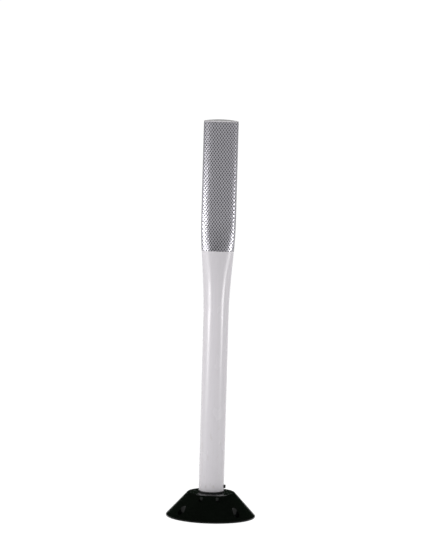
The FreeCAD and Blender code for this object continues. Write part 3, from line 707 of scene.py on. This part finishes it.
class BuildFoot(bpy.types.Operator):
    """Build the wear ring, foot bush, lock button and its spring"""
    bl_idname = "rebound_post.foot"
    bl_label = "Foot of the Post"

    def execute(self, context):
        rubber = plain_plastic("black_wear_rubber", "#0C0C0C", "#141414", 0.55, 1.1 * MM)
        black_nylon = plain_plastic("black_nylon", "#151516", "#1E1E20", 0.45, 1.4 * MM)
        acetal = plain_plastic("black_acetal", "#0B0B0C", "#121213", 0.30, 1.1 * MM)
        steel = plain_metal("oiled_spring_steel", "#3C3C3E", "#515153", 0.36, (1.0, 1.0, 1.0))
        washer = ring(WASHER_HOLE, WASHER_HIGH.x, WASHER_LOW.z, WASHER_HIGH.z)
        finish_piece(soften(washer, 0.5 * MM, 3), "foot_wear_ring", rubber, "foot_washer",
                     "rocker")
        mouth = flared_mouth(BUSH_HOLE, BUSH_MOUTH, BUSH_LOW.z, 1, 6)
        bush = lathe([*mouth, (BUSH_HIGH.x, BUSH_LOW.z), (BUSH_HIGH.x, BUSH_HIGH.z),
                      (BUSH_HOLE, BUSH_HIGH.z)][::-1])
        bore = along_x(rod(BUTTON_BORE, BUTTON_BORE_FLOOR, 30 * MM, 40), BUTTON_LEVEL)
        bush = soften(cut(bush, bore), 0.4 * MM)
        finish_piece(bush, "nylon_foot_bush", black_nylon, "foot_bush", "post")
        tip = BUTTON_HIGH.x
        button = lathe([(0.0, BUTTON_LOW.x), (BUTTON_FLANGE_RADIUS, BUTTON_LOW.x),
                        (BUTTON_FLANGE_RADIUS, BUTTON_FLANGE_FRONT), (BUTTON_RADIUS, BUTTON_FLANGE_FRONT),
                        (BUTTON_RADIUS, tip - 1.4 * MM), (BUTTON_RADIUS - 1.2 * MM, tip - 0.3 * MM),
                        (0.0, tip)], 48, closed=False)
        button = along_x(soften(button, 0.3 * MM), BUTTON_LEVEL)
        finish_piece(button, "lock_button_body", acetal, "lock_button", "button")
        # The coil's first and last turns are closed.
        free = COIL_HIGH.x - COIL_LOW.x - 6 * COIL_WIRE
        coil = helix(COIL_RADIUS, COIL_WIRE, [1, 4, 1], [2 * COIL_WIRE, free, 2 * COIL_WIRE],
                     COIL_LOW.x + COIL_WIRE, 24, 8)
        coil = finish_piece(along_x(coil, BUTTON_LEVEL), "button_return_spring", steel, "button_spring",
                            "post")
        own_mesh(coil)
        return {"FINISHED"}


class BuildTube(bpy.types.Operator):
    """Build the one-piece pipe, round below and drawn flat above"""
    bl_idname = "rebound_post.tube"
    bl_label = "Post Tube"

    def execute(self, context):
        low, high = TUBE_LOW.z, TUBE_HIGH.z
        inner = PIPE_RADIUS - PIPE_WALL
        chamfer = 0.9 * MM
        flare_step = 6.0 * MM
        # Rings of faces lie close together only where the pipe changes shape.
        levels = [low + 20 * MM, low + 60 * MM, 0.20, 0.28, 0.36, 0.42]
        steps = round((FLARE_END - FLARE_START) / flare_step)
        levels += [FLARE_START + (FLARE_END - FLARE_START) * i / steps for i in range(steps + 1)]
        levels += [0.72, 0.78, 0.84]
        outside = [(PIPE_RADIUS, z) for z in levels]
        inside = [(inner, z) for z in reversed(levels)]
        pipe = lathe([(inner, low + chamfer), (inner + chamfer, low), (PIPE_RADIUS - chamfer, low),
                      (PIPE_RADIUS, low + chamfer), *outside, (PIPE_RADIUS, high - chamfer / 2),
                      (PIPE_RADIUS - chamfer / 2, high), (inner, high), *inside], segments=128)
        hole = along_x(rod(BUTTON_HOLE, 20 * MM, 36 * MM, 40), BUTTON_LEVEL)
        plastic = extruded_polyethylene(context.scene.rebound_post.tube_colour)
        finish_piece(draw_flat(cut(pipe, hole)), "white_post_tube", plastic, "post_tube",
                     "post")
        return {"FINISHED"}


class BuildBand(bpy.types.Operator):
    """Build the reflective sheeting, with its lattice of diamond cells as low relief"""
    bl_idname = "rebound_post.band"
    bl_label = "Reflective Sheeting"

    def execute(self, context):
        settings = context.scene.rebound_post
        across, up = settings.lattice_across, settings.lattice_up
        round_pipe = TURN * PIPE_RADIUS
        width, height = round_pipe + FILM_OVERLAP, BAND_HIGH.z - BAND_LOW.z
        count = math.ceil(width / across + height / up) + 2
        bm = bmesh.new()
        bmesh.ops.create_grid(bm, x_segments=count, y_segments=count, size=count / 2)
        bmesh.ops.rotate(bm, verts=bm.verts, cent=(0, 0, 0), matrix=Matrix.Rotation(TURN / 8, 3, "Z"))
        # A unit square turned an eighth is sqrt(2) wide and high; it becomes one diamond.
        scale = 1 / math.sqrt(2)
        bmesh.ops.scale(bm, verts=bm.verts, vec=(across * scale, up * scale, 1.0))
        for plane, normal in (((-width / 2, 0, 0), (-1, 0, 0)), ((width / 2, 0, 0), (1, 0, 0)),
                              ((0, -height / 2, 0), (0, -1, 0)), ((0, height / 2, 0), (0, 1, 0))):
            bmesh.ops.bisect_plane(bm, geom=list(bm.verts) + list(bm.edges) + list(bm.faces),
                                   dist=1e-7, plane_co=plane, plane_no=normal, clear_outer=True)
        # Diamonds that the sheet's edges cut down to slivers stay flat.
        whole = [face for face in bm.faces if face.calc_area() > 0.4 * across * up / 2]
        bmesh.ops.inset_individual(bm, faces=whole, thickness=SEAM_WIDTH, depth=0.0)
        for face in whole:
            for vert in face.verts:
                vert.co.z = -CELL_DEPTH
        bmesh.ops.subdivide_edges(bm, edges=bm.edges, cuts=1, use_grid_fill=True)
        bmesh.ops.triangulate(bm, faces=[face for face in bm.faces if len(face.verts) > 4])
        sheet_uv = bm.loops.layers.uv.new("sheet")
        for face in bm.faces:
            for loop in face.loops:
                loop[sheet_uv].uv = (loop.vert.co.x, loop.vert.co.y)
        middle = (BAND_LOW.z + BAND_HIGH.z) / 2
        thickness = BAND_HIGH.x - FLAT_HALF_WIDTH - FILM_GAP
        for vert in bm.verts:
            along = vert.co.x + round_pipe / 2
            # The last millimetres of the wrap rise onto its first ones.
            lift = thickness * smooth_step((vert.co.x - round_pipe / 2 + 2 * MM) / (3 * MM))
            radius = PIPE_RADIUS + FILM_GAP + thickness + lift + vert.co.z
            angle = TURN * along / round_pipe
            x, y, z = math.sin(angle) * -radius, math.cos(angle) * radius, vert.co.y + middle
            vert.co = (*drawn_flat(x, y, z), z)
        bmesh.ops.recalc_face_normals(bm, faces=bm.faces)
        # The sheet is open, so its faces may all have been turned inwards.
        if sum(face.normal.xy.dot(face.calc_center_median().xy) for face in bm.faces) < 0:
            bmesh.ops.reverse_faces(bm, faces=bm.faces)
        film = prismatic_film(settings.seam_colour, across, up)
        piece = finish_piece(bm, "reflective_sheeting", film, "reflective_band", "post",
                             weighted=False)
        wall = piece.modifiers.new("thickness", "SOLIDIFY")
        wall.thickness = thickness * 0.8
        wall.offset = -1.0
        return {"FINISHED"}


class BuildCap(bpy.types.Operator):
    """Build the crowned cap that closes the flattened top"""
    bl_idname = "rebound_post.cap"
    bl_label = "Top Cap"

    def execute(self, context):
        seat, top = TUBE_HIGH.z, CAP_HIGH.z
        edge = 0.7 * MM
        crown = [(PIPE_RADIUS * math.cos(a), seat + edge + (top - seat - edge) * math.sin(a) ** 2)
                 for a in (TURN / 4 * i / 14 for i in range(15))]
        # A hollow plug with a chamfered foot holds the cap in the tube.
        plug = PIPE_RADIUS - PIPE_WALL - 0.2 * MM
        plug_inside = plug - 2.5 * MM
        cap = lathe([(0.0, seat - 0.2 * MM), (plug_inside, seat - 0.2 * MM), (plug_inside, CAP_LOW.z),
                     (plug - 0.5 * MM, CAP_LOW.z), (plug, CAP_LOW.z + 1.5 * MM), (plug, seat),
                     (PIPE_RADIUS - 0.3 * MM, seat), (PIPE_RADIUS, seat + 0.3 * MM), *crown],
                    128, closed=False)
        for vert in cap.verts:
            reach = vert.co.xy.length
            if reach > 1e-6:
                full = vert.co.xy.normalized() * PIPE_RADIUS
                x, y = drawn_flat(full.x, full.y, FLARE_END)
                vert.co.x, vert.co.y = x * reach / PIPE_RADIUS, y * reach / PIPE_RADIUS
        finish_piece(cap, "white_top_cap", moulded_cap_plastic(), "top_cap", "post")
        return {"FINISHED"}


class BuildTensionUnit(bpy.types.Operator):
    """Build the wire rope, the main spring, its seats, the stud and the nuts"""
    bl_idname = "rebound_post.tension_unit"
    bl_label = "Tension Unit"

    def execute(self, context):
        zinc = plain_metal("zinc_plated_turned_steel", "#A6A8AA", "#BFC1C3", 0.30, (1.0, 1.0, 4.0))
        steel = plain_metal("phosphated_spring_steel", "#333335", "#48484A", 0.40, (1.0, 1.0, 1.0))
        rope = plain_metal("galvanised_wire_rope", "#8B8E91", "#A5A8AA", 0.38, (1.0, 1.0, 0.3))
        shoulder = LOWER_SEAT_LOW.z + SEAT_THICKNESS
        seat = lathe([(BUSH_HOLE, LOWER_SEAT_LOW.z), (LOWER_SEAT_HIGH.x, LOWER_SEAT_LOW.z),
                      (LOWER_SEAT_HIGH.x, shoulder), (SEAT_HUB_RADIUS, shoulder),
                      (SEAT_HUB_RADIUS, LOWER_SEAT_HIGH.z), (BUSH_HOLE, LOWER_SEAT_HIGH.z)])
        finish_piece(soften(seat, 0.5 * MM), "lower_seat", zinc, "lower_spring_seat", "post")
        shoulder = UPPER_SEAT_HIGH.z - SEAT_THICKNESS
        seat = lathe([(STUD_HOLE, UPPER_SEAT_LOW.z), (SEAT_HUB_RADIUS, UPPER_SEAT_LOW.z),
                      (SEAT_HUB_RADIUS, shoulder), (UPPER_SEAT_HIGH.x, shoulder),
                      (UPPER_SEAT_HIGH.x, UPPER_SEAT_HIGH.z), (STUD_HOLE, UPPER_SEAT_HIGH.z)])
        finish_piece(soften(seat, 0.5 * MM), "upper_seat", zinc, "upper_spring_seat",
                     "tensioner")
        # The spring's first and last turns are closed.
        free = SPRING_HIGH.z - SPRING_LOW.z - 6 * SPRING_WIRE
        spring = helix(SPRING_HIGH.x - SPRING_WIRE, SPRING_WIRE, [1, 7, 1],
                       [2 * SPRING_WIRE, free, 2 * SPRING_WIRE], SPRING_LOW.z + SPRING_WIRE, 40, 16)
        spring = finish_piece(spring, "main_rebound_spring", steel, "rebound_spring",
                              "post", weighted=False)
        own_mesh(spring)
        sleeve_top = UPPER_SEAT_LOW.z - 12 * MM
        root = STUD_RADIUS - 0.4 * MM
        stud = lathe([(0.0, STUD_LOW.z), (STUD_HIGH.x - 0.8 * MM, STUD_LOW.z),
                      (STUD_HIGH.x, STUD_LOW.z + MM), (STUD_HIGH.x, sleeve_top), (root, sleeve_top + 2 * MM),
                      (root, STUD_HIGH.z - 1.5 * MM), (root - MM, STUD_HIGH.z), (0.0, STUD_HIGH.z)],
                     48, closed=False)
        pitch = 1.25 * MM
        turns = (STUD_HIGH.z - sleeve_top - 8 * MM) / pitch
        thread = helix(root, 0.38 * MM, [turns], [turns * pitch], sleeve_top + 4 * MM, 24, 4)
        finish_piece(join(stud, thread), "threaded_cable_stud", zinc, "cable_stud",
                     "tensioner")
        for node, low, high in (("tension_nut", NUT_LOW, NUT_HIGH),
                                ("lock_nut", LOCK_NUT_LOW, LOCK_NUT_HIGH)):
            finish_piece(hex_nut(low.z, high.z, high.x), "hex_" + node, zinc, node,
                         "tensioner")
        # The rope is in two lengths that meet in the washer.
        split = WASHER_LOW.z + 1.2 * MM
        lower = wire_rope(CABLE_LOW.z, split)
        lower = finish_piece(lower, "wire_rope_lower", rope, "tension_cable", weighted=False)
        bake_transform(lower)
        upper = wire_rope(split, CABLE_HIGH.z, CABLE_LOW.z)
        upper = finish_piece(upper, "wire_rope_upper", rope, "tension_cable", weighted=False)
        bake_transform(upper)
        return {"FINISHED"}


# ---------------------------------------------------------------- stage

def place(data, location, aim, roll=0.0):
    """Put a light or camera in the scene, pointing at a place and turned about its own axis by degrees."""
    item = bpy.data.objects.new(data.name, data)
    bpy.context.scene.collection.objects.link(item)
    look = (Vector(aim) - Vector(location)).to_track_quat("-Z", "Y").to_matrix().to_4x4()
    item.matrix_world = Matrix.Translation(location) @ look @ Matrix.Rotation(math.radians(roll), 4, "Z")
    return item


class BuildStage(bpy.types.Operator):
    """Build the pale studio floor, the lights, the surroundings and the camera"""
    bl_idname = "rebound_post.stage"
    bl_label = "Studio Stage"

    def execute(self, context):
        scene = context.scene
        floor_mesh = bmesh.new()
        bmesh.ops.create_grid(floor_mesh, x_segments=1, y_segments=1, size=FLOOR_HALF_WIDTH)
        # A little below the base, so that the table's face and the base's underside aren't in one plane.
        moved(floor_mesh, (0, 0, -0.2 * MM))
        mesh = bpy.data.meshes.new("light_table")
        floor_mesh.to_mesh(mesh)
        floor_mesh.free()
        floor = bpy.data.objects.new("light_table", mesh)
        scene.collection.objects.link(floor)
        # A back-lit white acrylic table: it glows evenly, so that next to no shadow shows on it.
        acrylic, tree, shader = new_material("back_lit_white_acrylic", Roughness=0.9, Specular_IOR_Level=0.0,
                                             Emission_Strength=0.93)
        shader.inputs["Base Color"].default_value = scene.rebound_post.floor_colour
        shader.inputs["Emission Color"].default_value = hex_colour("#FFFFFF")
        mesh.materials.append(acrylic)

        sun = bpy.data.lights.new("high_soft_sun", "SUN")
        sun.energy = 1.3
        sun.angle = math.radians(40.0)
        place(sun, SUN_PLACE, (0.0, 0.0, 0.0))
        for name, angle, level, width, height, tilt, watts in SOFTBOXES:
            softbox = bpy.data.lights.new(name, "AREA")
            softbox.shape = "RECTANGLE"
            softbox.size, softbox.size_y = width, height
            softbox.energy = watts
            turn = math.radians(angle)
            location = (SOFTBOX_DISTANCE * math.sin(turn), -SOFTBOX_DISTANCE * math.cos(turn), level)
            place(softbox, location, (0.0, 0.0, level), tilt)

        world = bpy.data.worlds.new("studio_surroundings")
        scene.world = world
        world.use_nodes = True
        tree = world.node_tree
        direction = add_node(tree, "ShaderNodeTexCoord").outputs["Generated"]
        part = add_node(tree, "ShaderNodeSeparateXYZ", {"Vector": direction})
        # The bright horizon reaches higher in front, behind the camera, than at the back.
        front = add_node(tree, "ShaderNodeMath", {0: part.outputs["Y"], 1: 0.0}, operation="MINIMUM")
        raised = add_node(tree, "ShaderNodeMath", {0: front.outputs[0], 1: 0.14, 2: part.outputs["Z"]},
                          operation="MULTIPLY_ADD")
        ramp = add_node(tree, "ShaderNodeMapRange",
                        {"Value": raised.outputs[0], "From Min": 0.018, "From Max": 0.05})
        mix = add_node(tree, "ShaderNodeMix", {0: ramp.outputs["Result"], 6: (1.05, 1.05, 1.05, 1.0),
                                               7: hex_colour("#152017")}, data_type="RGBA")
        tree.links.new(mix.outputs[2], tree.nodes["Background"].inputs["Color"])

        scene.view_settings.view_transform = "Standard"
        scene.view_settings.look = "None"
        lens = bpy.data.cameras.new("main_camera")
        lens.lens = 169.1
        lens.sensor_width = 36.0
        lens.clip_start, lens.clip_end = 0.1, 400.0
        turn = math.radians(CAMERA_AZIMUTH)
        location = (CAMERA_DISTANCE * math.sin(turn), -CAMERA_DISTANCE * math.cos(turn), CAMERA_HEIGHT)
        scene.camera = place(lens, location, CAMERA_AIM, CAMERA_ROLL)
        return {"FINISHED"}


# ---------------------------------------------------------------- add-on

class ReboundPostPanel(bpy.types.Panel):
    """Lists the pieces of the post"""
    bl_idname = "VIEW3D_PT_rebound_post"
    bl_label = "Rebound Post"
    bl_space_type = "VIEW_3D"
    bl_region_type = "UI"
    bl_category = "Rebound Post"

    def draw(self, context):
        settings = context.scene.rebound_post
        for name in ReboundPostSettings.__annotations__:
            self.layout.prop(settings, name)
        for operator in OPERATORS:
            self.layout.operator(operator.bl_idname)


OPERATORS = (BuildStage, BuildBase, BuildBaseHardware, BuildFoot, BuildTube, BuildBand, BuildCap,
             BuildTensionUnit)
CLASSES = (ReboundPostSettings, *OPERATORS, ReboundPostPanel)


def register():
    for item in CLASSES:
        bpy.utils.register_class(item)
    bpy.types.Scene.rebound_post = bpy.props.PointerProperty(type=ReboundPostSettings)


def unregister():
    del bpy.types.Scene.rebound_post
    for item in reversed(CLASSES):
        bpy.utils.unregister_class(item)


def main():
    register()
    for operator in OPERATORS:
        group, name = operator.bl_idname.split(".")
        getattr(getattr(bpy.ops, group), name)()


if __name__ == "__main__":
    main()
